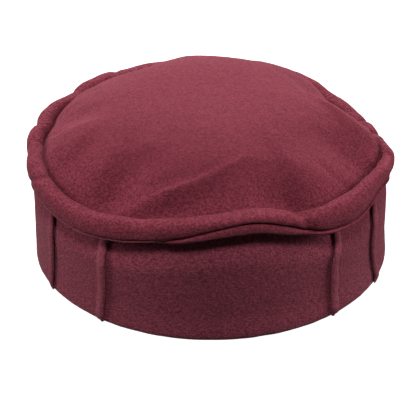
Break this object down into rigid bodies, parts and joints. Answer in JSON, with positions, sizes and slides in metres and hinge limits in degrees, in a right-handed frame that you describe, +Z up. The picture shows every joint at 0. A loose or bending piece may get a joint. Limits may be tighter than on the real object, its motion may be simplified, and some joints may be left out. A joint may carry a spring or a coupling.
{
  "type": "pakol",
  "caption": "Soft round cap: a domed crown gathered to a padded roll round its rim, over an upright band of sewn panels whose seams are folded edges.",
  "frame": {"origin": "middle of the round lower edge of the band, on the surface that the cap rests on", "axes": "+Z up through the crown, -Y out of the front, the way the wearer looks, +X to the wearer's left"},
  "size_m": [0.1951, 0.1951, 0.0936],
  "materials": {
    "fleece": "burgundy fleece with a short brushed pile, matt",
    "fleece_under": "the same fleece, seen in the shade under the roll"
  },
  "bodies": {
    "root": {"crown_top": "fleece", "rim_roll": "fleece", "crown_underside": "fleece_under", "band_back_right": "fleece", "band_right": "fleece", "band_front_right": "fleece", "band_front": "fleece", "band_front_left": "fleece", "band_left": "fleece", "band_back_left": "fleece", "band_back": "fleece"}
  },
  "joints": []
}
